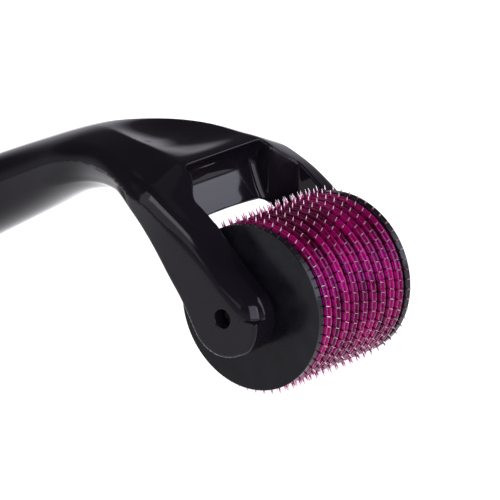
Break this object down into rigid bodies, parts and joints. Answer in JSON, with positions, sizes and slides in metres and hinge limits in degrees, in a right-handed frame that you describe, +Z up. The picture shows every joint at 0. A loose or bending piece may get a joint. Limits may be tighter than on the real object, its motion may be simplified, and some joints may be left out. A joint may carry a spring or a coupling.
{
  "type": "derma roller",
  "caption": "Hand-held skin roller: a curved gloss-black handle with a fork that carries a free-turning tinted drum set with rows of fine steel needles",
  "frame": {"origin": "On the table under the middle of the roller's overall length and width; the roller lies on its needle tips and on the underside of its grip", "axes": "+X from the handle's tail to the drum, +Y along the drum's axle, +Z up from the table"},
  "size_m": [0.14, 0.0308, 0.0287],
  "materials": {
    "handle_black": "high gloss",
    "cap_black": "satin gloss",
    "drum_magenta": "gloss, tinted, see-through in thin places",
    "needle_steel": "bright ground",
    "axle_steel": "drawn"
  },
  "bodies": {
    "handle": {"handle_upper_shell": "handle_black", "handle_lower_shell": "handle_black"},
    "roller": {"axle_pin": "axle_steel", "drum_core": "drum_magenta", "end_cap_left": "cap_black", "end_cap_right": "cap_black", "spacer_disc_01": "drum_magenta", "spacer_disc_02": "drum_magenta", "spacer_disc_03": "drum_magenta", "spacer_disc_04": "drum_magenta", "spacer_disc_05": "drum_magenta", "spacer_disc_06": "drum_magenta", "spacer_disc_07": "drum_magenta", "spacer_disc_08": "drum_magenta", "spacer_disc_09": "drum_magenta", "needle_ring_01": "needle_steel", "needle_ring_02": "needle_steel", "needle_ring_03": "needle_steel", "needle_ring_04": "needle_steel", "needle_ring_05": "needle_steel", "needle_ring_06": "needle_steel", "needle_ring_07": "needle_steel", "needle_ring_08": "needle_steel", "needle_ring_09": "needle_steel", "needle_ring_10": "needle_steel"}
  },
  "joints": [
    {"name": "drum_spin", "type": "hinge", "parent": "handle", "child": "roller", "pos_m": [0.0585, 0, 0.0115], "axis": [0, 1, 0], "continuous": true}
  ]
}
